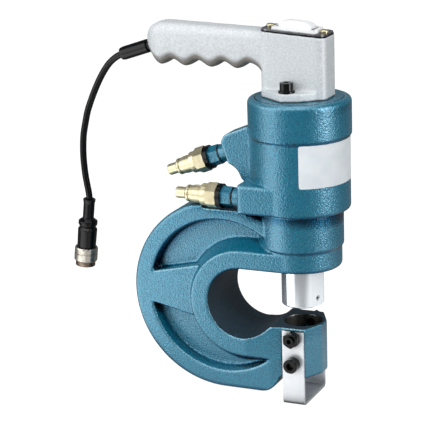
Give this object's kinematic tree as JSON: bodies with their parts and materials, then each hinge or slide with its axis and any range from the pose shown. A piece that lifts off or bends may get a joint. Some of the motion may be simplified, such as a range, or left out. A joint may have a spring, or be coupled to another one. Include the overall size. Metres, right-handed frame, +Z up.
{
  "type": "hydraulic hole punch",
  "caption": "Portable hydraulic hole punch: cast C frame, double-acting cylinder, quick-coupler hose nipples, top grip with a rocker switch, and a control cord with a screw-ring plug.",
  "frame": {"origin": "on the punch axis, at the mouth of the die seat in the lower jaw", "axes": "+Z up along the ram axis, +X out of the throat past the jaw nose, so the grip and cord are towards -X"},
  "size_m": [0.3356, 0.1108, 0.4183],
  "materials": {
    "hammered_paint": "hammered metallic teal-blue paint",
    "cast_alloy": "satin cast aluminium",
    "steel": "bright machined steel",
    "chrome": "hard-chromed",
    "bronze": "machined bronze",
    "seal_rubber": "black rubber",
    "black_steel": "black oxide",
    "yellow_zinc": "yellow-passivated plating",
    "black_plastic": "moulded",
    "white_plastic": "moulded",
    "copper": "bright contact metal"
  },
  "bodies": {
    "frame": {"c_frame": "hammered_paint", "cylinder_body": "hammered_paint", "end_plug": "hammered_paint", "end_plug_seal": "seal_rubber", "rod_guide": "bronze", "guide_seal": "seal_rubber", "rod_seal": "seal_rubber", "rod_wiper": "seal_rubber", "upper_adapter": "hammered_paint", "lower_adapter": "hammered_paint", "adapter_rings": "seal_rubber", "coupler_washers": "seal_rubber", "upper_nipple": "yellow_zinc", "lower_nipple": "yellow_zinc", "handle": "cast_alloy", "handle_bolts": "black_steel", "switch_gasket": "seal_rubber", "switch_plate": "black_steel", "switch_body": "black_plastic", "switch_bezel": "white_plastic", "rocker_pin": "steel", "switch_screws": "yellow_zinc", "cord_sleeve": "seal_rubber", "control_cord": "seal_rubber", "plug_boot": "seal_rubber", "plug_shell": "steel", "plug_insert": "black_plastic", "plug_pins": "copper", "foot_strap": "steel", "strap_screws": "black_steel", "die_lock_screws": "black_steel", "die_lock_nuts": "black_steel"},
    "ram": {"piston_rod": "chrome", "piston": "steel", "piston_seals": "seal_rubber", "piston_nut": "steel", "punch_set_screw": "steel"},
    "rocker": {"switch_rocker": "white_plastic"},
    "upper_poppet": {"upper_poppet": "steel"},
    "lower_poppet": {"lower_poppet": "steel"},
    "coupling_ring": {"coupling_ring": "steel"}
  },
  "joints": [
    {"name": "ram_slide", "type": "slide", "parent": "frame", "child": "ram", "axis": [0, 0, -1], "range_m": [0, 0.018]},
    {"name": "rocker_tilt", "type": "hinge", "parent": "frame", "child": "rocker", "pos_m": [-0.00128, 0, 0.31351], "axis": [0, 1, 0], "range_deg": [-6, 6], "stiffness_Nm_per_rad": 0.3},
    {"name": "upper_poppet_slide", "type": "slide", "parent": "frame", "child": "upper_poppet", "axis": [0.9397, 0, 0.342], "range_m": [0, 0.004], "stiffness_N_per_m": 400},
    {"name": "lower_poppet_slide", "type": "slide", "parent": "frame", "child": "lower_poppet", "axis": [1, 0, 0], "range_m": [0, 0.004], "stiffness_N_per_m": 400},
    {"name": "coupling_ring_spin", "type": "hinge", "parent": "frame", "child": "coupling_ring", "pos_m": [-0.26618, 0, 0.05099], "axis": [-0.1219, 0, -0.9925], "continuous": true}
  ]
}
